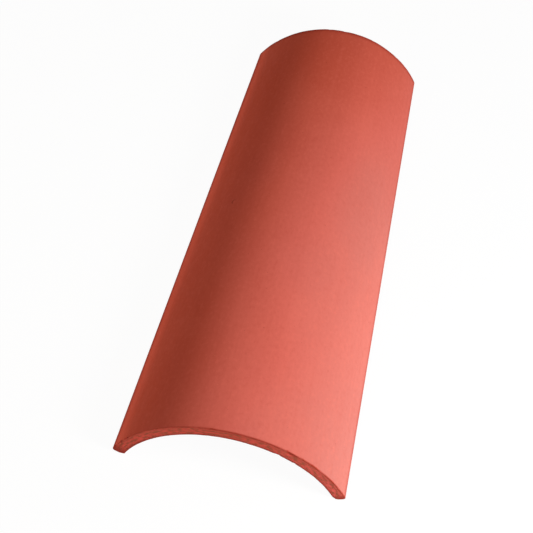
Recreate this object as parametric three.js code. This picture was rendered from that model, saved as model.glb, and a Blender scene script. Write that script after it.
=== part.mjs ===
// A curved clay roof tile, the tapered half-barrel kind that is laid in alternate rows as pan and
// cover. One piece of fired clay: an arc of even wall, drawn through a die, cut to length and
// squeezed narrower towards one end. It lies on its two long edges with the crown up.
//
// Millimetres. X runs across the tile, Y from the wide end to the narrow end, Z up.
// The origin is under the middle of the tile, on the surface that it lies on.

import * as THREE from 'three';
import { LoftGeometry } from 'three/addons/geometries/LoftGeometry.js';

// Driving dimensions

const tileLength = 500;
const wideEndWidth = 200; // across the outside of the two long edges
const narrowEndWidth = 165;
const wall = 11.5;
const arcAngle = 133; // degrees of its circle that the section takes up
const footWidth = 4.5; // flat that each long edge stands on, at its inner corner
const outerCornerRadius = 3; // where the side of a long edge meets the outside
const innerCornerRadius = 1.2; // where the foot meets the inside
const endEase = 0.8; // rounding all the way round both cut ends

const sharpestRadius = 0.1; // what a corner keeps where the ease of an end eats into it

// How finely the curves are faceted

const arcSegments = 26; // from the crown to one long edge
const cornerSegments = 5;
const easeSegments = 3;

const clayColour = 0xb8604a;

const quarterTurn = Math.PI / 2;
const halfTurn = Math.PI;
const halfArc = THREE.MathUtils.degToRad( arcAngle / 2 );

// Angles in a section are measured from straight up, clockwise as seen from the wide end.

function arc( centre, radius, from, to, segments ) {

	const points = [];

	for ( let i = 0; i <= segments; i ++ ) {

		const angle = THREE.MathUtils.lerp( from, to, i / segments );
		const spoke = new THREE.Vector2( Math.sin( angle ), Math.cos( angle ) );
		points.push( spoke.multiplyScalar( radius ).add( centre ) );

	}

	return points;

}

// The outside radius that makes a section with rounded outer corners just this wide.

function outsideRadius( width ) {

	const rounding = outerCornerRadius * ( 1 - Math.cos( halfArc ) );
	const alongSide = ( width / 2 - rounding ) / Math.sin( halfArc );

	return outerCornerRadius + Math.hypot( alongSide, outerCornerRadius );

}

// The right half of a section, from the crown outside, round the long edge, to the crown inside.
// The side of the long edge is cut square to the wall, so it leans out and up, and its inner
// corner is flattened into the foot. With an inset, every face stands back by that much.

function halfSection( width, inset ) {

	const outside = outsideRadius( width ) - inset;
	const inside = outsideRadius( width ) - wall + inset;

	// The uncut inner corner would reach this far below the foot.
	const trim = footWidth / ( Math.tan( halfArc ) + 1 / Math.tan( halfArc ) );
	const centreHeight = - trim - ( inside - inset ) * Math.cos( halfArc );
	const centre = new THREE.Vector2( 0, centreHeight );

	// Outer corner, tangent to the outside and to the side of the edge.
	const outerRadius = Math.max( outerCornerRadius - inset, sharpestRadius );
	const outerReach = outside - outerRadius;
	const outerAngle = halfArc - Math.asin( ( inset + outerRadius ) / outerReach );
	const outerCentre = new THREE.Vector2( Math.sin( outerAngle ), Math.cos( outerAngle ) )
		.multiplyScalar( outerReach )
		.add( centre );

	// Where the side of the edge runs down into the foot.
	const sideFoot = ( inset - centreHeight - inset * Math.sin( halfArc ) ) / Math.cos( halfArc );
	const footEdge = new THREE.Vector2( sideFoot * Math.sin( halfArc ) - inset * Math.cos( halfArc ), inset );

	// Inner corner, tangent to the foot and to the inside.
	const innerRadius = Math.max( innerCornerRadius - inset, sharpestRadius );
	const innerReach = inside + innerRadius;
	const innerAngle = Math.acos( ( inset + innerRadius - centreHeight ) / innerReach );
	const innerCentre = new THREE.Vector2( innerReach * Math.sin( innerAngle ), inset + innerRadius );

	return [
		...arc( centre, outside, 0, outerAngle, arcSegments ),
		...arc( outerCentre, outerRadius, outerAngle, halfArc + quarterTurn, cornerSegments ).slice( 1 ),
		footEdge,
		...arc( innerCentre, innerRadius, halfTurn, halfTurn + innerAngle, cornerSegments ),
		...arc( centre, inside, innerAngle, 0, arcSegments ).slice( 1 )
	];

}

// A whole section, standing across the tile at the place y along it.

function section( y, inset ) {

	const width = THREE.MathUtils.mapLinear( y, - tileLength / 2, tileLength / 2, wideEndWidth, narrowEndWidth );
	const right = halfSection( width, inset );
	const left = right.slice( 1, - 1 ).reverse().map( ( p ) => new THREE.Vector2( - p.x, p.y ) );

	return [ ...right, ...left ].map( ( p ) => new THREE.Vector3( p.x, y, p.y ) );

}

// The sections that round off an end, from its cut face to the full section. The end lies towards
// +Y or -Y.

function easedEnd( direction ) {

	const sections = [];

	for ( let i = 0; i <= easeSegments; i ++ ) {

		const angle = quarterTurn * i / easeSegments;
		const back = endEase * ( 1 - Math.cos( angle ) );
		const inset = endEase * ( 1 - Math.sin( angle ) );
		sections.push( section( direction * ( tileLength / 2 - back ), inset ) );

	}

	return sections;

}

function makeTile() {

	const wideEnd = easedEnd( - 1 );
	const narrowEnd = easedEnd( 1 ).reverse();
	const geometry = new LoftGeometry( [ ...wideEnd, ...narrowEnd ], { capStart: true, capEnd: true } );
	const clay = new THREE.MeshStandardMaterial( { color: clayColour, roughness: 0.6, metalness: 0 } );
	const mesh = new THREE.Mesh( geometry, clay );
	mesh.name = 'clay_tile';

	return mesh;

}

const roofTile = new THREE.Group();
roofTile.name = 'roof_tile';
roofTile.add( makeTile() );

export default roofTile;
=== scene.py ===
# Looks of the curved clay roof tile: the tile itself as one dense mesh with the small relief that
# drawing, wire cutting and handling leave on fired clay, its clay material, and a plain studio.
#
# Metres, in the frame of the CAD model: X across the tile, Y from the wide end to the narrow end,
# Z up, and the origin under the middle of the tile, on the surface that it lies on.

import math

import bpy
import numpy as np
from mathutils import Matrix, Vector, noise


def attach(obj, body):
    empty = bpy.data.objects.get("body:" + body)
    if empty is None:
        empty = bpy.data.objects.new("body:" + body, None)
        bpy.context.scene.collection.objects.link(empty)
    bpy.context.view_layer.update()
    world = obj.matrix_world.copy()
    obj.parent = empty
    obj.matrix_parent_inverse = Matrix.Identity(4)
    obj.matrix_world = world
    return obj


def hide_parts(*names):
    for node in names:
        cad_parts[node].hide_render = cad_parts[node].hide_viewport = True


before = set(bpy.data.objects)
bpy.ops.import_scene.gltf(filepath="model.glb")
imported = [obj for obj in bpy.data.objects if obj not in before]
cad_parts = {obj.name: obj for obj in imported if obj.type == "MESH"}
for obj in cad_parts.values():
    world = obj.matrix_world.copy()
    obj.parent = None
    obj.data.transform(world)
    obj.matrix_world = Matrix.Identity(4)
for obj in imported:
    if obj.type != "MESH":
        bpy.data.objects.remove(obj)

MM = 0.001

# The tile, with the same driving dimensions as the CAD model.

TILE_LENGTH = 500 * MM
WIDE_END_WIDTH = 200 * MM  # across the outside of the two long edges
NARROW_END_WIDTH = 165 * MM
WALL = 11.5 * MM
HALF_ARC = math.radians(133 / 2)
FOOT_WIDTH = 4.5 * MM  # flat that each long edge stands on, at its inner corner
OUTER_CORNER_RADIUS = 3 * MM
INNER_CORNER_RADIUS = 1.2 * MM
END_EASE = 0.8 * MM  # rounding all the way round both cut ends
SHARPEST_RADIUS = 0.1 * MM
HALF_LENGTH = TILE_LENGTH / 2
MEAN_WIDTH = (WIDE_END_WIDTH + NARROW_END_WIDTH) / 2
WIDE, NARROW = -1, 1  # which end, as the sign of its y

# How finely the mesh follows them.

ARC_STEPS = 240  # across, from one long edge to the other
CORNER_STEPS = 5
SIDE_STEPS = 5
FOOT_STEPS = 3
EDGE_STEPS = CORNER_STEPS + SIDE_STEPS + FOOT_STEPS + CORNER_STEPS  # round one long edge
RING = 2 * (ARC_STEPS + EDGE_STEPS)  # points in one section
EASE_STEPS = 5
FIRST_STEP = 0.7 * MM  # between sections next to an end
STEP_GROWTH = 1.12
LONGEST_STEP = 5 * MM  # between sections in the middle
CORNER_REACH = 0.05  # share of the arc over which a cut face follows the corners at its two ends
SHARP_ANGLE = math.radians(32)  # between faces, from which their edge is shaded sharp

# Relief. It goes inward from the faces of the CAD model. Each part of it is a field of noise with a
# seed, a depth and sizes of grain.

FIELD_SHIFT = 17.3  # from the field of one seed to that of the next
LEAST_EASE = 0.35 * END_EASE  # the rounding of an end varies between these
MOST_EASE = 0.95 * END_EASE
EASE_SEEDS = {WIDE: 4, NARROW: 6}
EASE_WAVE = 12 * MM
EASE_LEVELS = 5  # insets at which a section is worked out, for those between
CUT_SEEDS = {WIDE: -1, NARROW: 1}
CUT_WANDER = 0.3 * MM  # how far a wire-cut face strays from its plane
CUT_WAVE = 40 * MM
CUT_REACH = 12 * MM  # how far from an end the sections follow its unevenness
SWELL_SEED = 1
SWELL_DEPTH = 0.16 * MM  # slow unevenness of the drawn faces
SWELL_ACROSS = 38 * MM
SWELL_ALONG = 240 * MM
DRAW_SEED = 2
DRAW_DEPTH = 0.05 * MM  # lengthwise lines that the die leaves outside
DRAW_DEPTH_INSIDE = 0.22 * MM  # and inside
DRAW_ACROSS = 5 * MM
DRAW_ALONG = 260 * MM
FLOW_SEED = 3
FLOW_DEPTH = 0.08 * MM  # lines along the wall in the cut faces
FLOW_ACROSS = 1.6 * MM
FLOW_ALONG = 45 * MM
TEAR_SEED = 6
TEAR_DEPTH = 0.20 * MM  # grains that the wire tore out of the cut faces
TEAR_GRAIN = 2.6 * MM
FOOT_CLEAR = 3 * MM  # height from which the relief has its full depth: the feet stay flat

# Where the kiln has bent the narrow end: degrees from the crown, how far outward, and half the
# width of the bend in degrees.

NARROW_END_BENDS = (
    (-41, -2.0 * MM, 23),
    (18, 0.75 * MM, 12),
)
STIFF_HEIGHT = 12 * MM  # height from which a bend has its full depth: the feet stay on the floor

# Chips out of the arrises.

CHIP_SEED = 7
GRIT_SEED = 4
CHIP_GRIT = 0.9 * MM  # size of the grain of their hollows
GRIT_LEAST = 0.6  # least share of its depth that a chip has at a grain
GRIT_RANGE = 0.8  # from that share to the largest
BARE_DEPTH = 0.25 * MM  # from which a chip shows the bare body, with painted shade in its hollow as dark as an arris
STRAY_CHIPS = 44
STRAY_CHIP_REACH = (0.6 * MM, 1.6 * MM)
STRAY_CHIP_STRETCH = (1.0, 2.2)  # its length to its reach
STRAY_CHIP_DEPTH = (0.10 * MM, 0.35 * MM)

# The larger ones on the wide end's rims: degrees from the crown, depth into the wall, length along
# the rim to the left and to the right, reach away from the rim, and how deep it is.

WIDE_RIM_CHIPS = (
    (25.6, 0.0, 0.8 * MM, 1.4 * MM, 1.5 * MM, 0.9 * MM),
    (26.4, 1.4 * MM, 1.6 * MM, 10.0 * MM, 1.7 * MM, 0.7 * MM),
    (38.6, 0.0, 1.2 * MM, 9.0 * MM, 1.4 * MM, 0.45 * MM),
    (-57.5, 0.0, 2.0 * MM, 2.6 * MM, 1.6 * MM, 0.6 * MM),
    (-52.0, 0.0, 1.4 * MM, 1.4 * MM, 1.2 * MM, 0.5 * MM),
    (-8.0, 0.0, 3.0 * MM, 4.0 * MM, 1.2 * MM, 0.4 * MM),
    (52.0, 0.0, 2.6 * MM, 3.0 * MM, 1.2 * MM, 0.4 * MM),
    (24.5, WALL, 5.0 * MM, 1.0 * MM, 1.4 * MM, 0.7 * MM),
    (33.0, WALL, 1.2 * MM, 1.6 * MM, 1.4 * MM, 0.6 * MM),
    (65.4, WALL, 1.8 * MM, 1.8 * MM, 1.8 * MM, 0.9 * MM),
)

# Half width of the painted shade line along the arrises.

SKIN_SHADE_BAND = {WIDE: 0.7 * MM, NARROW: 3.4 * MM}  # on the outside, at each end
FACE_SHADE_BAND = 1.1 * MM  # on the cut faces, next to the outside
INNER_SHADE_BAND = 2.0 * MM  # on the cut faces, next to the inside, and on the inside
RIGHT_EDGE_SHADE_BAND = 3.2 * MM  # along the right long edge, and next to it on the cut faces
LEFT_EDGE_SHADE_BAND = 6.8 * MM  # the same on the left
DARKEST_RUN = 0.5  # share of an end's rounding at which its line is darkest
LIGHTER_RIM_SPAN = (-70 * MM, -10 * MM)  # the x over which the painted shade line on the wide end's outer rim turns from light to dark
LIGHTER_RIM_SHARE = 0.25  # how dark the lighter part is, as a share of the rest

# Fired clay. Colours are linear. A grain is the size of a noise along X, Y and Z, or along U and V
# of the mesh. Levels are values of a noise.

SMOOTH_NOISE = (2.0, 0.5)  # detail and roughness
CLOUDY_NOISE = (3.0, 0.5)
STREAKY_NOISE = (3.0, 0.6)
SANDY_NOISE = (4.0, 0.65)
COARSE_NOISE = (4.0, 0.7)

# Painted highlight: the clay is painted paler and pinker in a patch round the near right corner,
# where the key light falls brightest, and deeper red away from it.
DEEP_CLAY = (0.543, 0.086, 0.047, 1.0)  # outside the painted highlight
HALF_HIGHLIGHT_CLAY = (0.567, 0.121, 0.091, 1.0)  # painted highlight, half way from there to the patch
HIGHLIGHT_CLAY = (0.476, 0.149, 0.121, 1.0)  # painted highlight: the paler, pinker patch where the key light falls brightest
HIGHLIGHT_PLACE = Vector((116, -250, 0)) * MM
HIGHLIGHT_STRETCH = (1.0, 4.1, 1000.0)  # it is longer along the tile, and the same at every height
HIGHLIGHT_REACH = (10 * MM, 211 * MM)  # from full colour to none
HIGHLIGHT_WANDER = 25 * MM  # how far its border strays
HIGHLIGHT_GRAIN = (150 * MM, 260 * MM, 150 * MM)
HIGHLIGHT_LEVELS = (0.2, 0.8)  # at which the border strays furthest

BOUNCE_LIT_CLAY = (0.745, 0.121, 0.0705, 1.0)  # painted light: the paler strip of the outside next to the left edge, where light from the floor falls
BOUNCE_LIT_RISE = (1 * MM, 6 * MM)  # distance from the edge over which the strip begins
BOUNCE_LIT_FALL = (4 * MM, 26 * MM)  # and over which it ends

DARK_CLAY = (0.450, 0.060, 0.038, 1.0)
PALE_CLAY = (0.720, 0.165, 0.115, 1.0)
VEIL_LEVELS = (0.3, 0.5, 0.7)  # at which a veil is darkest, clear and palest
CLOUD_GRAIN = (60 * MM, 90 * MM, 60 * MM)  # soft clouds of the kiln
CLOUD_SHARE = 0.10
SAND_GRAIN = (3.0 * MM, 4.4 * MM, 3.0 * MM)  # sandy mottling all over
SAND_SHARE = 0.17
STREAK_GRAIN = (4.5 * MM, 300 * MM, 1.0)  # lengthwise streaks of the drawn faces
STREAK_SHARE = 0.06

# Bare body on the wire-cut faces and the long edges, under the same painted highlight as the skin.

CUT_CLAY = (0.705, 0.090, 0.0605, 1.0)  # outside the painted highlight
HALF_HIGHLIGHT_CUT_CLAY = (0.622, 0.0735, 0.0475, 1.0)
HIGHLIGHT_CUT_CLAY = (0.712, 0.105, 0.084, 1.0)  # where the painted highlight is full
TORN_CLAY = (0.310, 0.076, 0.034, 1.0)  # in the hollows that the wire tore
TORN_GRAIN = (2.4 * MM, 7.0 * MM, 1.0)
TORN_LEVELS = (0.38, 0.58)  # from a hollow to the plain face
TORN_SHARE = 0.85
WIRE_BAND = (1.5 * MM, 6.0 * MM)  # depth over which the browner part, where the wire went in, ends
WIRE_SHARE = 0.27

# Painted shade: a darker line along the arrises, widest along the left edge, on the inside and the
# feet, and in chips.
RIM_SHADE_CLAY = (0.330, 0.033, 0.017, 1.0)  # painted shade along the arrises and in the chips
RIM_SHADE_GRAIN = (14 * MM, 14 * MM, 14 * MM)
RIM_SHADE_LEVELS = (0.3, 0.65)  # from the palest to the darkest stretches
RIM_SHADE_SHARE = (0.70, 1.00)

# Specks: how far apart they are, their radius, and how strongly they show.

IRON_CLAY = (0.230, 0.030, 0.018, 1.0)
IRON_SPECKS = (22 * MM, 0.40 * MM, 0.45)
GROG_CLAY = (0.700, 0.210, 0.120, 1.0)
GROG_SPECKS = (11 * MM, 0.30 * MM, 0.60)
PITS = (9 * MM, 0.32 * MM, 0.45)
SPECK_FADE = (0.6, 1.6)  # shares of the radius between which a speck fades out

# A crescent nick in the left flank: its middle, its radius, and how far the inner circle is moved.

NICK_PLACE = Vector((-56.4, 8.9, 45.7)) * MM
NICK_RADIUS = 2.8 * MM
NICK_SHIFT = Vector((1.2, -0.5, 0.9)) * MM
NICK_FADE = (0.8, 1.1)  # shares of the radius between which it fades out
NICK_SHARE = 0.5

# Layers of the bump.

TOOTH_GRAIN = (0.7 * MM, 0.7 * MM, 0.7 * MM)  # fine sand
TOOTH_HEIGHT = 0.05 * MM
SAND_HEIGHT = 0.08 * MM  # of the mottling
HAIR_GRAIN = (1.2 * MM, 120 * MM, 1.0)  # hair lines along the draw
HAIR_HEIGHT = 0.015 * MM
DRAG_GRAIN = (1.1 * MM, 14 * MM, 1.0)  # coarse tooth of the cut faces and of the inside
DRAG_HEIGHT = 0.30 * MM
PIT_HEIGHT = 0.20 * MM

CLAY_IOR = 1.45
CLAY_SPECULAR = 0.13
CLAY_DIFFUSE_ROUGHNESS = 0.6
CLAY_ROUGHNESS = (0.74, 0.86)
GLOSS_GRAIN = (4 * MM, 12 * MM, 4 * MM)
GLOSS_LEVELS = (0.3, 0.7)  # from the smoothest to the roughest places

# Studio

FLOOR_SIZE = 14.0
FLOOR_COLOUR = (0.90, 0.90, 0.90, 1.0)
WHITE = (1.0, 1.0, 1.0, 1.0)
FLOOR_WHITENESS = 0.96  # share of the floor's look that is plain white; the rest takes the shadow
WORLD_LEVEL = 0.04  # of the light that the white surround gives the tile

NEUTRAL_LIGHT = (1.0, 1.0, 1.0)
WARM_LIGHT = (1.0, 0.80, 0.65)

# Lamps: degrees round from the wide end towards +X, degrees up, distance, size, the level at which
# a white surface at the tile that faces the lamp would render, and the colour of the light.

LAMPS = {
    "key": (62, 31, 0.82, 0.26, 1.23, NEUTRAL_LIGHT),
    "side": (100, 20, 1.20, 0.30, 0.18, NEUTRAL_LIGHT),
    "fill": (-60, 52, 1.30, 0.80, 0.285, WARM_LIGHT),
    "low": (-88, 12, 1.30, 0.50, 0.19, WARM_LIGHT),
}
LAMP_TARGET = Vector((0.0, -0.05, 0.03))

# Camera: its place and the directions of the picture's right and down sides.

CAMERA_PLACE = Vector((0.11215, -0.85925, 1.06734))
PICTURE_RIGHT = Vector((0.97619, 0.21143, 0.04840))
PICTURE_DOWN = Vector((0.19541, -0.76048, -0.61926))
CAMERA_LENS = 98.42  # this and the sensor's width are in millimetres
CAMERA_SENSOR = 36.0


# Sections of the tile


def width_at(y):
    """Width of the section at the place y along the tile."""
    return WIDE_END_WIDTH + (NARROW_END_WIDTH - WIDE_END_WIDTH) * (y + HALF_LENGTH) / TILE_LENGTH


def outside_radius(width):
    """The outside radius that makes a section with rounded outer corners just this wide."""
    rounding = OUTER_CORNER_RADIUS * (1 - math.cos(HALF_ARC))
    along_side = (width / 2 - rounding) / math.sin(HALF_ARC)
    return OUTER_CORNER_RADIUS + math.hypot(along_side, OUTER_CORNER_RADIUS)


def section_centre(width):
    """Centre of a section's arcs, (x, z), below the feet. Uncut inner corners would reach lower."""
    trim = FOOT_WIDTH / (math.tan(HALF_ARC) + 1 / math.tan(HALF_ARC))
    return np.array([0.0, -trim - (outside_radius(width) - WALL) * math.cos(HALF_ARC)])


def spoke(centre, radius, angles):
    """Points (x, z) at this radius from a centre. Angles run from straight up towards +X."""
    return np.stack([centre[0] + radius * np.sin(angles), centre[1] + radius * np.cos(angles)], -1)


def arc(centre, radius, start, end, steps):
    """A row of points (x, z) along a circle."""
    return spoke(centre, radius, np.linspace(start, end, steps + 1))


def ring(width, inset):
    """One section as a closed row of (x, z): the outside from left to right, round the right long
    edge, back along the inside, and round the left edge. An inset moves every face back."""
    outside = outside_radius(width) - inset
    inside = outside_radius(width) - WALL + inset
    centre = section_centre(width)

    outer_radius = max(OUTER_CORNER_RADIUS - inset, SHARPEST_RADIUS)
    outer_reach = outside - outer_radius
    outer_angle = HALF_ARC - math.asin((inset + outer_radius) / outer_reach)
    outer_centre = spoke(centre, outer_reach, outer_angle)

    side_foot = (inset - centre[1] - inset * math.sin(HALF_ARC)) / math.cos(HALF_ARC)
    foot_corner = (side_foot * math.sin(HALF_ARC) - inset * math.cos(HALF_ARC), inset)

    inner_radius = max(INNER_CORNER_RADIUS - inset, SHARPEST_RADIUS)
    inner_reach = inside + inner_radius
    inner_angle = math.acos((inset + inner_radius - centre[1]) / inner_reach)
    inner_centre = (inner_reach * math.sin(inner_angle), inset + inner_radius)

    top = arc(centre, outside, -outer_angle, outer_angle, ARC_STEPS)
    square = HALF_ARC + math.pi / 2  # the way that the side of the edge faces
    outer_corner = arc(outer_centre, outer_radius, outer_angle, square, CORNER_STEPS)
    side = np.linspace(outer_corner[-1], foot_corner, SIDE_STEPS + 1)
    inner_corner = arc(inner_centre, inner_radius, math.pi, math.pi + inner_angle, CORNER_STEPS)
    foot = np.linspace(foot_corner, inner_corner[0], FOOT_STEPS + 1)
    edge = np.vstack([outer_corner[1:], side[1:], foot[1:], inner_corner[1:]])
    under = arc(centre, inside, inner_angle, -inner_angle, ARC_STEPS)
    left_edge = edge[-2::-1] * (-1, 1)
    return np.vstack([top, edge, under[1:], left_edge])


# Where the parts of a ring begin and end

TOP_END = ARC_STEPS
UNDER_START = TOP_END + EDGE_STEPS
UNDER_END = UNDER_START + ARC_STEPS


def field(seed, *axes):
    """Smooth noise from 0 to 1, a value for each point. An axis is (coordinates, size of grain)."""
    columns = [values / grain for values, grain in axes]
    columns += [np.zeros_like(columns[0])] * (3 - len(columns))
    columns[2] = columns[2] + FIELD_SHIFT * seed
    return np.array([0.5 + 0.5 * noise.noise(Vector(p)) for p in np.stack(columns, -1)])


# The mesh of the tile


def half_stations():
    """Sections from an end to the middle of the tile, each as its distance from the end's ease and
    its shares of the ease's inset and run."""
    turns = [math.pi / 2 * i / EASE_STEPS for i in range(EASE_STEPS + 1)]
    rows = [(0.0, 1 - math.sin(turn), 1 - math.cos(turn)) for turn in turns]
    gaps = []
    while sum(gaps) < HALF_LENGTH:
        gaps.append(min(FIRST_STEP * STEP_GROWTH ** len(gaps), LONGEST_STEP))
    stretch = HALF_LENGTH / sum(gaps)
    return rows + [(back, 0.0, 1.0) for back in np.cumsum(gaps) * stretch]


def stations():
    """Every section from the wide end to the narrow end, with the end that it belongs to."""
    half = half_stations()
    return [(WIDE, *row) for row in half] + [(NARROW, *row) for row in half[-2::-1]]


def cut_wander(end, flat):
    """How far a cut face stands back from its plane, at points (x, z)."""
    return CUT_WANDER * field(CUT_SEEDS[end], (flat[:, 0], CUT_WAVE), (flat[:, 1], CUT_WAVE))


def end_ease(end, flat):
    """The rounding of an end at each point (x, z) of its rims."""
    share = field(EASE_SEEDS[end], (flat[:, 0], EASE_WAVE), (flat[:, 1], EASE_WAVE))
    return LEAST_EASE + (MOST_EASE - LEAST_EASE) * share


def inset_ring(width, insets):
    """A section whose points each stand back by an inset of their own."""
    levels = np.linspace(0, MOST_EASE, EASE_LEVELS)
    rings = np.stack([ring(width, level) for level in levels])
    place = insets / levels[1]
    low = np.clip(place.astype(int), 0, EASE_LEVELS - 2)
    share = (place - low)[:, None]
    points = np.arange(RING)
    return rings[low, points] * (1 - share) + rings[low + 1, points] * share


def skin(rows):
    """Points of all sections, one row of the array for each."""
    end_rings = {end: ring(width_at(end * HALF_LENGTH), 0) for end in (WIDE, NARROW)}
    wander = {end: cut_wander(end, flat) for end, flat in end_rings.items()}
    eases = {end: end_ease(end, flat) for end, flat in end_rings.items()}
    points = np.empty((len(rows), RING, 3))
    for i, (end, back, inset, run) in enumerate(rows):
        fade = max(0.0, 1 - back / CUT_REACH)
        width = width_at(end * (HALF_LENGTH - back - run * fade * END_EASE))
        flat = inset_ring(width, inset * eases[end]) if inset else ring(width, 0)
        set_back = back + fade * (wander[end] + run * eases[end])
        points[i] = np.stack([flat[:, 0], end * (HALF_LENGTH - set_back), flat[:, 1]], -1)
    return points


def cut_face(end, section):
    """A grid of points over a cut face, [across][outside to inside], within its rim section."""
    top = section[:TOP_END + 1]
    right = section[TOP_END:UNDER_START + 1]
    under = section[UNDER_START:UNDER_END + 1][::-1]
    left = np.vstack([section[UNDER_END:], section[:1]])[::-1]
    across = np.linspace(0, 1, ARC_STEPS + 1)[:, None, None]
    depth = np.linspace(0, 1, EDGE_STEPS + 1)[None, :, None]
    grid = top[:, None] * (1 - depth) + under[:, None] * depth
    left_bulge = left[None] - grid[:1]
    right_bulge = right[None] - grid[-1:]
    grid = grid + left_bulge * np.clip(1 - across / CORNER_REACH, 0, 1) ** 2
    grid = grid + right_bulge * np.clip(1 - (1 - across) / CORNER_REACH, 0, 1) ** 2
    inner = grid[1:-1, 1:-1]
    wander = cut_wander(end, inner[..., [0, 2]].reshape(-1, 2)).reshape(inner.shape[:2])
    inner[..., 1] = end * (HALF_LENGTH - wander)
    return grid


def ring_lengths(section):
    """Distance round a section to each of its points, and the whole way round at the end."""
    closed = np.vstack([section, section[:1]])
    return np.concatenate([[0.0], np.cumsum(np.hypot(*np.diff(closed, axis=0).T))])


def outer_rim_shade(end, x):
    """How dark the painted shade line on an end's outer rim is at these x: on the wide end it is
    lighter on the left.
    """
    return np.interp(x, LIGHTER_RIM_SPAN, (LIGHTER_RIM_SHARE, 1.0)) if end == WIDE else 1.0


class Tile:
    """Points, faces and face corners' UV of the tile's mesh, with masks for its clay.

    UV is in metres. U runs across the grain of the drawn clay and V along it: on the skin U goes
    round the section, from the left edge over the outside, and V along the tile. On a cut face U
    goes from the outside through the wall, and V along the arc."""

    def __init__(self):
        rows = stations()
        points = skin(rows)
        lengths = ring_lengths(ring(MEAN_WIDTH, 0))
        self.points = [points.reshape(-1, 3)]
        self.grain = [np.stack([np.tile(lengths[:-1], len(rows)), self.points[0][:, 1]], -1)]
        self.faces = []
        self.uv = []
        self.add_skin_faces(len(rows), lengths, points[:, 0, 1])
        self.cut = [self.skin_cut(rows)]
        self.rim_shade = [self.skin_rim_shade(rows, lengths, points[..., 0])]
        self.inside = [np.tile(self.ring_span(UNDER_START, UNDER_END), len(rows))]
        self.add_cut_face(WIDE, points[0], 0)
        self.add_cut_face(NARROW, points[-1], (len(rows) - 1) * RING)

    def add_skin_faces(self, count, lengths, places):
        """Adds the faces between this many sections, which are at these places along the tile."""
        for s in range(count - 1):
            for k in range(RING):
                after = (k + 1) % RING
                low, high = s * RING, (s + 1) * RING
                self.faces.append((low + k, low + after, high + after, high + k))
                left, right = lengths[k], lengths[k + 1]
                near, far = places[s], places[s + 1]
                self.uv += [(left, near), (right, near), (right, far), (left, far)]

    def ring_span(self, start, end):
        """1 for the points of a ring from start to end, and 0 for the others."""
        mask = np.zeros(RING)
        mask[start:end + 1] = 1
        return mask

    def skin_cut(self, rows):
        """1 where the skin was cut: on the long edges' sides, and in the ease towards a face."""
        sides = self.ring_span(TOP_END + CORNER_STEPS, UNDER_START)
        sides += self.ring_span(UNDER_END, RING - CORNER_STEPS)
        return np.concatenate([np.maximum(np.clip(sides, 0, 1), inset) for _, _, inset, _ in rows])

    def skin_rim_shade(self, rows, lengths, places):
        """Painted shade: 1 on the arrises of the ends and of the long edges, fading away from them.
        lengths are the distances round a section, and places the x of each section's points."""
        corner = CORNER_STEPS // 2
        arrises = np.array([lengths[TOP_END + corner], lengths[RING - corner]])
        apart = np.abs(lengths[:-1, None] - arrises)
        away = np.minimum(apart, lengths[-1] - apart) / (RIGHT_EDGE_SHADE_BAND, LEFT_EDGE_SHADE_BAND)
        along_edges = np.exp(-away.min(1) ** 2)
        under = self.ring_span(UNDER_START, UNDER_END)
        masks = []
        for (end, back, _, run), x in zip(rows, places):
            band = SKIN_SHADE_BAND[end] + (INNER_SHADE_BAND - SKIN_SHADE_BAND[end]) * under
            at_end = np.exp(-((back + (run - DARKEST_RUN) * END_EASE) / band) ** 2)
            at_end *= under + (1 - under) * outer_rim_shade(end, x)
            masks.append(np.maximum(along_edges, at_end))
        return np.concatenate(masks)

    def add_cut_face(self, end, section, first):
        """Adds the face that closes an end, whose rim points start at the index first."""
        grid = cut_face(end, section)
        numbers = np.empty((ARC_STEPS + 1, EDGE_STEPS + 1), int)
        numbers[:, 0] = np.arange(TOP_END + 1)
        numbers[-1, :] = np.arange(TOP_END, UNDER_START + 1)
        numbers[:, -1] = np.arange(UNDER_START, UNDER_END + 1)[::-1]
        numbers[0, :] = (np.arange(UNDER_END, RING + 1) % RING)[::-1]
        numbers += first
        inner = grid[1:-1, 1:-1].reshape(-1, 3)
        made = sum(len(part) for part in self.points)
        inner_numbers = made + np.arange(len(inner))
        numbers[1:-1, 1:-1] = inner_numbers.reshape(ARC_STEPS - 1, EDGE_STEPS - 1)

        depth = np.linspace(0, WALL, EDGE_STEPS + 1)
        along = np.linspace(0, outside_radius(MEAN_WIDTH) * 2 * HALF_ARC, ARC_STEPS + 1)
        deep, far = [part.ravel() for part in np.meshgrid(depth[1:-1], along[1:-1])]
        self.points.append(inner)
        self.grain.append(np.stack([deep, far], -1))
        self.cut.append(np.ones(len(inner)))
        self.inside.append(np.zeros(len(inner)))
        # Painted shade on the cut faces: along the outer and inner arrises and next to the long
        # edges.
        outer = outer_rim_shade(end, inner[:, 0]) * np.exp(-(deep / FACE_SHADE_BAND) ** 2)
        from_edge = np.minimum(far / LEFT_EDGE_SHADE_BAND, (along[-1] - far) / RIGHT_EDGE_SHADE_BAND)
        away = np.minimum((WALL - deep) / INNER_SHADE_BAND, from_edge)
        self.rim_shade.append(np.maximum(outer, np.exp(-away ** 2)))
        for i in range(ARC_STEPS):
            for j in range(EDGE_STEPS):
                corners = [(i, j), (i, j + 1), (i + 1, j + 1), (i + 1, j)][::-end]
                self.faces.append([numbers[corner] for corner in corners])
                self.uv += [(depth[b], along[a]) for a, b in corners]


# Relief and chips


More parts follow.
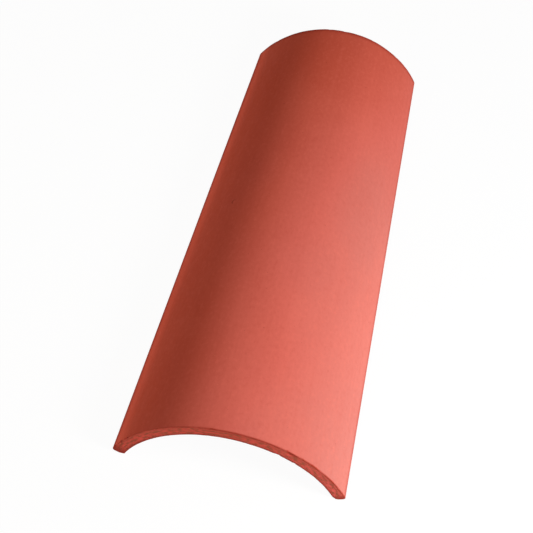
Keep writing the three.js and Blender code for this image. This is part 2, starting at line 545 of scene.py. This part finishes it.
def chips():
    """Every chip as its end, angle, depth into the wall, lengths to both sides, reach and depth."""
    rng = np.random.default_rng(CHIP_SEED)
    found = [(WIDE, math.radians(turn), *sizes) for turn, *sizes in WIDE_RIM_CHIPS]
    for _ in range(STRAY_CHIPS):
        end = rng.choice([WIDE, NARROW])
        turn = rng.uniform(-HALF_ARC, HALF_ARC)
        into_wall = rng.choice([0, WALL])
        reach = rng.uniform(*STRAY_CHIP_REACH)
        left, right = reach * rng.uniform(*STRAY_CHIP_STRETCH, 2)
        found.append((end, turn, into_wall, left, right, reach, rng.uniform(*STRAY_CHIP_DEPTH)))
    return found


def rim_place(end, turn, depth):
    """The point of an end's face at this angle from the crown and this deep into the wall."""
    width = width_at(end * HALF_LENGTH)
    x, z = spoke(section_centre(width), outside_radius(width) - depth, turn)
    return np.array([x, end * HALF_LENGTH, z])


def relief(points, grain, cut, inside):
    """How far each point of the tile moves inward."""
    across, along = grain.T
    swell = SWELL_DEPTH * field(SWELL_SEED, (across, SWELL_ACROSS), (along, SWELL_ALONG))
    lines = field(DRAW_SEED, (across, DRAW_ACROSS), (along, DRAW_ALONG))
    lines *= DRAW_DEPTH + (DRAW_DEPTH_INSIDE - DRAW_DEPTH) * inside
    flow = FLOW_DEPTH * field(FLOW_SEED, (across, FLOW_ACROSS), (along, FLOW_ALONG))
    tear = TEAR_DEPTH * field(TEAR_SEED, *((axis, TEAR_GRAIN) for axis in points.T))
    depth = (swell + lines) * (1 - cut) + (flow + tear) * cut
    return depth * np.clip(points[:, 2] / FOOT_CLEAR, 0, 1)


def chip_depth(points):
    """How deep the chips are at each point of the tile."""
    grit = GRIT_LEAST + GRIT_RANGE * field(GRIT_SEED, *((axis, CHIP_GRIT) for axis in points.T))
    depth = np.zeros(len(points))
    for end, turn, into_wall, left, right, reach, deep in chips():
        away = points - rim_place(end, turn, into_wall)
        along = away @ (math.cos(turn), 0.0, -math.sin(turn))
        aside = (away ** 2).sum(1) - along ** 2
        length = np.where(along < 0, left, right)
        hollow = np.clip(1 - (along / length) ** 2 - aside / reach ** 2, 0, 1)
        depth = np.maximum(depth, deep * np.sqrt(hollow) * grit)
    return depth


def bent(points):
    """The points moved by the narrow end's bends, which fade out towards the wide end."""
    along = (points[:, 1] + HALF_LENGTH) / TILE_LENGTH
    rise = points[:, 2] - section_centre(NARROW_END_WIDTH)[1]
    reach = np.hypot(points[:, 0], rise)
    angles = np.degrees(np.arctan2(points[:, 0], rise))
    outward = np.zeros(len(points))
    for turn, push, half_width in NARROW_END_BENDS:
        outward += push * np.exp(-((angles - turn) / half_width) ** 2)
    outward = outward * along ** 2 * np.clip(points[:, 2] / STIFF_HEIGHT, 0, 1)
    spokes = np.stack([points[:, 0], np.zeros(len(points)), rise], -1) / reach[:, None]
    return points + spokes * outward[:, None]


def add_mask(mesh, name, values):
    """A number at each point of the mesh, for the material to read."""
    mesh.attributes.new(name, "FLOAT", "POINT").data.foreach_set("value", values)


def make_tile(material):
    """The tile as one object."""
    tile = Tile()
    points = np.concatenate(tile.points)
    cut = np.concatenate(tile.cut)
    inside = np.concatenate(tile.inside)
    mesh = bpy.data.meshes.new("roof_tile_clay")
    mesh.from_pydata(points.tolist(), [], tile.faces)
    mesh.uv_layers.new(name="grain").data.foreach_set("uv", np.ravel(tile.uv))
    normals = np.empty(points.size)
    mesh.vertex_normals.foreach_get("vector", normals)
    chipped = chip_depth(points)
    depth = np.maximum(relief(points, np.concatenate(tile.grain), cut, inside), chipped)
    # Chips show the bare body, with painted shade in their hollows.
    bare_and_shaded = np.clip(chipped / BARE_DEPTH, 0, 1)
    cut = np.maximum(cut, bare_and_shaded)
    points = bent(points - normals.reshape(-1, 3) * depth[:, None])
    mesh.vertices.foreach_set("co", points.ravel())
    add_mask(mesh, "cut", cut)
    add_mask(mesh, "inside", inside)
    add_mask(mesh, "rim_shade", np.maximum(np.concatenate(tile.rim_shade), bare_and_shaded))
    mesh.shade_smooth()
    mesh.set_sharp_from_angle(angle=SHARP_ANGLE)
    mesh.materials.append(material)
    mesh.update()
    made = bpy.data.objects.new("roof_tile_clay", mesh)
    bpy.context.scene.collection.objects.link(made)
    return made


# Materials


class Nodes:
    """A material's node tree, with short ways to add and join nodes."""

    # Numbers of the Mix node's sockets for colours, and of its output for the mixed one.
    FIRST, SECOND, MIXED = 6, 7, 2

    def __init__(self, name):
        self.material = bpy.data.materials.new(name)
        self.material.use_nodes = True
        self.tree = self.material.node_tree
        self.tree.nodes.clear()

    def add(self, kind, inputs=None, **settings):
        """A new node. inputs gives its sockets numbers, colours or other nodes' outputs."""
        made = self.tree.nodes.new("ShaderNode" + kind)
        for name, value in settings.items():
            setattr(made, name, value)
        for name, value in (inputs or {}).items():
            self.put(made.inputs[name], value)
        return made

    def put(self, socket, value):
        """Joins another node's output to a socket, or sets the socket's own value."""
        if isinstance(value, bpy.types.NodeSocket):
            self.tree.links.new(value, socket)
        else:
            socket.default_value = value

    def scaled(self, vector, scale):
        """Coordinates divided into grains of these sizes."""
        factors = tuple(1 / size for size in scale)
        return self.add("VectorMath", {0: vector, 1: factors}, operation="MULTIPLY").outputs[0]

    def noise(self, vector, grain, kind=SMOOTH_NOISE):
        """Noise of this kind, with this size of grain along each axis of the coordinates."""
        inputs = {"Vector": self.scaled(vector, grain), "Scale": 1.0}
        inputs["Detail"], inputs["Roughness"] = kind
        return self.add("TexNoise", inputs, normalize=True).outputs["Fac"]

    def spread(self, value, levels, to_low, to_high):
        """Maps the range between two levels onto another, smoothly, and holds it past both ends."""
        inputs = {"Value": value, "To Min": to_low, "To Max": to_high}
        inputs["From Min"], inputs["From Max"] = levels
        return self.add("MapRange", inputs, interpolation_type="SMOOTHSTEP").outputs[0]

    def mix(self, factor, first, second):
        """Mixes two colours."""
        made = self.add("Mix", {0: factor}, data_type="RGBA")
        self.put(made.inputs[self.FIRST], first)
        self.put(made.inputs[self.SECOND], second)
        return made.outputs[self.MIXED]

    def math(self, operation, first, second):
        """A calculation with two numbers."""
        return self.add("Math", {0: first, 1: second}, operation=operation).outputs[0]

    def mask(self, name):
        """The numbers that add_mask gave the mesh under this name."""
        return self.add("Attribute", attribute_name=name).outputs["Fac"]

    def across(self, grain):
        """U of the grain's coordinates: from the left edge on the outside, and from the outside
        into the wall on a cut face."""
        return self.add("SeparateXYZ", {"Vector": grain}).outputs["X"]

    def finish(self, shader):
        """Joins the shader to the output, and gives the material."""
        self.add("OutputMaterial", {"Surface": shader})
        return self.material


def painted_highlight(nodes, place):
    """Painted highlight: 1 in the patch where the key light falls brightest, falling to 0 away from
    there.
    """
    aside = nodes.add("VectorMath", {0: place, 1: HIGHLIGHT_PLACE}, operation="SUBTRACT").outputs[0]
    shrunk = nodes.scaled(aside, HIGHLIGHT_STRETCH)
    away = nodes.add("VectorMath", {0: shrunk}, operation="LENGTH").outputs["Value"]
    border = nodes.noise(place, HIGHLIGHT_GRAIN)
    wander = nodes.spread(border, HIGHLIGHT_LEVELS, -HIGHLIGHT_WANDER, HIGHLIGHT_WANDER)
    return nodes.spread(nodes.math("ADD", away, wander), HIGHLIGHT_REACH, 1.0, 0.0)


def highlight_colours(nodes, reach, away, between, near):
    """Clay under the painted highlight: one colour away from the patch, one half way, and one in
    it.

    The first half of the reach mixes the first two, and the second half mixes in the third. A
    Mix node holds a share below 0 at 0 and one above 1 at 1."""
    twice = nodes.math("MULTIPLY", reach, 2.0)
    colour = nodes.mix(twice, away, between)
    return nodes.mix(nodes.math("SUBTRACT", twice, 1.0), colour, near)


def bounce_lit_strip(nodes, grain):
    """Painted light from the floor: 1 in the strip next to the left edge, falling to 0 on both
    sides of it.
    """
    across = nodes.across(grain)
    rise = nodes.spread(across, BOUNCE_LIT_RISE, 0.0, 1.0)
    fall = nodes.spread(across, BOUNCE_LIT_FALL, 1.0, 0.0)
    return nodes.math("MULTIPLY", rise, fall)


def veil(nodes, colour, cloud, share):
    """Darkens the colour where the noise is low and pales it where it is high, by this share."""
    darkest, clear, palest = VEIL_LEVELS
    darker = nodes.spread(cloud, (darkest, clear), share, 0.0)
    paler = nodes.spread(cloud, (clear, palest), 0.0, share)
    return nodes.mix(paler, nodes.mix(darker, colour, DARK_CLAY), PALE_CLAY)


def cut_colour(nodes, grain, reach):
    """Bare body with torn streaks along the arc, browner where the wire went in, and under the
    painted highlight.
    """
    torn = nodes.spread(nodes.noise(grain, TORN_GRAIN, STREAKY_NOISE), TORN_LEVELS, TORN_SHARE, 0.0)
    outer = nodes.spread(nodes.across(grain), WIRE_BAND, WIRE_SHARE, 0.0)
    body = highlight_colours(nodes, reach, CUT_CLAY, HALF_HIGHLIGHT_CUT_CLAY, HIGHLIGHT_CUT_CLAY)
    return nodes.mix(nodes.math("MAXIMUM", torn, outer), body, TORN_CLAY)


def clay_colour(nodes, place, grain, pits, nick):
    """Skin under a painted highlight, with painted bounce light by the left edge, clouds and sandy
    mottling, bare body on the cut faces, painted shade along the arrises and in chips, and specks.
    """
    reach = painted_highlight(nodes, place)
    colour = highlight_colours(nodes, reach, DEEP_CLAY, HALF_HIGHLIGHT_CLAY, HIGHLIGHT_CLAY)
    colour = nodes.mix(bounce_lit_strip(nodes, grain), colour, BOUNCE_LIT_CLAY)
    colour = veil(nodes, colour, nodes.noise(place, CLOUD_GRAIN, CLOUDY_NOISE), CLOUD_SHARE)
    colour = veil(nodes, colour, nodes.noise(grain, STREAK_GRAIN, STREAKY_NOISE), STREAK_SHARE)
    colour = nodes.mix(nodes.mask("cut"), colour, cut_colour(nodes, grain, reach))
    colour = veil(nodes, colour, nodes.noise(place, SAND_GRAIN, SANDY_NOISE), SAND_SHARE)
    # Painted shade along the arrises and in chips, stronger in some stretches than in others.
    rim_shade_strength = nodes.spread(nodes.noise(place, RIM_SHADE_GRAIN), RIM_SHADE_LEVELS, *RIM_SHADE_SHARE)
    colour = nodes.mix(nodes.math("MULTIPLY", nodes.mask("rim_shade"), rim_shade_strength), colour, RIM_SHADE_CLAY)
    colour = nodes.mix(specks(nodes, place, *IRON_SPECKS), colour, IRON_CLAY)
    colour = nodes.mix(specks(nodes, place, *GROG_SPECKS), colour, GROG_CLAY)
    return nodes.mix(nodes.math("MAXIMUM", pits, nick), colour, IRON_CLAY)


def specks(nodes, place, apart, radius, share):
    """Round specks of about this radius, this far apart."""
    cells = nodes.scaled(place, (apart, apart, apart))
    away = nodes.add("TexVoronoi", {"Vector": cells, "Scale": 1.0}).outputs["Distance"]
    return nodes.spread(away, [part * radius / apart for part in SPECK_FADE], share, 0.0)


def disc(nodes, place, centre, radius):
    """1 within this radius of a point, falling to 0 just outside."""
    away = nodes.add("VectorMath", {0: place, 1: centre}, operation="DISTANCE").outputs["Value"]
    return nodes.spread(away, [part * radius for part in NICK_FADE], 1.0, 0.0)


def crescent(nodes, place):
    """The nick: a disc less the same disc moved to one side."""
    outer = disc(nodes, place, NICK_PLACE, NICK_RADIUS)
    inner = disc(nodes, place, NICK_PLACE + NICK_SHIFT, NICK_RADIUS)
    share = nodes.math("MULTIPLY", outer, NICK_SHARE)
    return nodes.math("MULTIPLY", share, nodes.math("SUBTRACT", 1.0, inner))


def clay_bump(nodes, place, grain, pits, nick):
    """Fine sandy grain all over, hair lines along the draw, pits, and a coarser tooth on the cut
    faces and inside."""
    rough = nodes.math("MAXIMUM", nodes.mask("cut"), nodes.mask("inside"))
    drag = nodes.math("MULTIPLY", nodes.noise(grain, DRAG_GRAIN, COARSE_NOISE), rough)
    hollow = nodes.math("MAXIMUM", pits, nick)
    layers = (
        (nodes.noise(place, TOOTH_GRAIN, SANDY_NOISE), TOOTH_HEIGHT),
        (nodes.noise(place, SAND_GRAIN, SANDY_NOISE), SAND_HEIGHT),
        (nodes.noise(grain, HAIR_GRAIN, STREAKY_NOISE), HAIR_HEIGHT),
        (drag, DRAG_HEIGHT),
        (hollow, -PIT_HEIGHT),
    )
    height = 0.0
    for layer, factor in layers:
        inputs = {0: layer, 1: factor, 2: height}
        height = nodes.add("Math", inputs, operation="MULTIPLY_ADD").outputs[0]
    return nodes.add("Bump", {"Strength": 1.0, "Distance": 1.0, "Height": height}).outputs[0]


def make_clay():
    """Fired clay: porous and matte."""
    nodes = Nodes("fired_clay")
    place = nodes.add("TexCoord").outputs["Object"]
    grain = nodes.add("UVMap", uv_map="grain").outputs[0]
    pits = specks(nodes, place, *PITS)
    nick = crescent(nodes, place)
    gloss = nodes.noise(place, GLOSS_GRAIN, CLOUDY_NOISE)
    roughness = nodes.spread(gloss, GLOSS_LEVELS, *CLAY_ROUGHNESS)
    clay = nodes.add("BsdfPrincipled", {
        "Base Color": clay_colour(nodes, place, grain, pits, nick),
        "Roughness": roughness,
        "Normal": clay_bump(nodes, place, grain, pits, nick),
        "IOR": CLAY_IOR,
        "Specular IOR Level": CLAY_SPECULAR,
        "Diffuse Roughness": CLAY_DIFFUSE_ROUGHNESS,
    })
    return nodes.finish(clay.outputs[0])


def make_floor_material():
    """A pale floor that looks white and still takes a faint shadow."""
    nodes = Nodes("studio_floor")
    diffuse = nodes.add("BsdfDiffuse", {"Color": FLOOR_COLOUR}).outputs[0]
    white = nodes.add("Emission", {"Color": WHITE, "Strength": 1.0}).outputs[0]
    rays = nodes.add("LightPath").outputs
    seen = nodes.math("MAXIMUM", rays["Is Camera Ray"], rays["Is Glossy Ray"])
    seen = nodes.math("MAXIMUM", seen, rays["Is Transmission Ray"])
    share = nodes.math("MULTIPLY", seen, FLOOR_WHITENESS)
    return nodes.finish(nodes.add("MixShader", {0: share, 1: diffuse, 2: white}).outputs[0])


# Studio


def make_floor():
    """The floor that the tile lies on."""
    half = FLOOR_SIZE / 2
    mesh = bpy.data.meshes.new("floor")
    corners = [(-half, -half, 0), (half, -half, 0), (half, half, 0), (-half, half, 0)]
    mesh.from_pydata(corners, [], [(0, 1, 2, 3)])
    mesh.materials.append(make_floor_material())
    floor = bpy.data.objects.new("floor", mesh)
    bpy.context.scene.collection.objects.link(floor)


def make_lamp(name, turn, rise, distance, size, level, colour):
    """A round soft lamp, as its line in LAMPS says."""
    turn, rise = math.radians(turn), math.radians(rise)
    flat = math.cos(rise)
    away = Vector((math.sin(turn) * flat, -math.cos(turn) * flat, math.sin(rise)))
    light = bpy.data.lights.new(name, "AREA")
    light.shape = "DISK"
    light.size = size
    # A lamp of this power lights a white surface that faces it to the level.
    light.energy = level * (math.pi * distance) ** 2
    light.color = colour
    lamp = bpy.data.objects.new(name, light)
    lamp.location = LAMP_TARGET + away * distance
    lamp.rotation_mode = "QUATERNION"
    lamp.rotation_quaternion = away.to_track_quat("Z", "Y")
    bpy.context.scene.collection.objects.link(lamp)


def make_world():
    """A white surround for the camera and for reflections, which lights the tile only faintly."""
    world = bpy.data.worlds.new("studio")
    world.use_nodes = True
    tree = world.node_tree
    rays = tree.nodes.new("ShaderNodeLightPath").outputs
    seen = rays["Is Camera Ray"]
    for other in ("Is Glossy Ray", "Is Transmission Ray"):
        both = tree.nodes.new("ShaderNodeMath")
        both.operation = "MAXIMUM"
        tree.links.new(seen, both.inputs[0])
        tree.links.new(rays[other], both.inputs[1])
        seen = both.outputs[0]
    level = tree.nodes.new("ShaderNodeMapRange")
    level.inputs["To Min"].default_value = WORLD_LEVEL
    tree.links.new(seen, level.inputs["Value"])
    background = tree.nodes["Background"]
    background.inputs["Color"].default_value = WHITE
    tree.links.new(level.outputs[0], background.inputs["Strength"])
    bpy.context.scene.world = world


def make_camera():
    """The camera, in the place and direction from which the tile is seen."""
    camera = bpy.data.cameras.new("camera")
    camera.sensor_width = CAMERA_SENSOR
    camera.lens = CAMERA_LENS
    holder = bpy.data.objects.new("camera", camera)
    back = PICTURE_RIGHT.cross(-PICTURE_DOWN)
    turn = Matrix((PICTURE_RIGHT, -PICTURE_DOWN, back)).transposed()
    holder.matrix_world = Matrix.Translation(CAMERA_PLACE) @ turn.to_4x4()
    bpy.context.scene.collection.objects.link(holder)
    bpy.context.scene.camera = holder


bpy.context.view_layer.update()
bpy.context.scene.view_settings.view_transform = "Standard"
tile = make_tile(make_clay())
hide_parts("clay_tile")
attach(tile, "root")
make_floor()
for lamp, numbers in LAMPS.items():
    make_lamp(lamp, *numbers)
make_world()
make_camera()
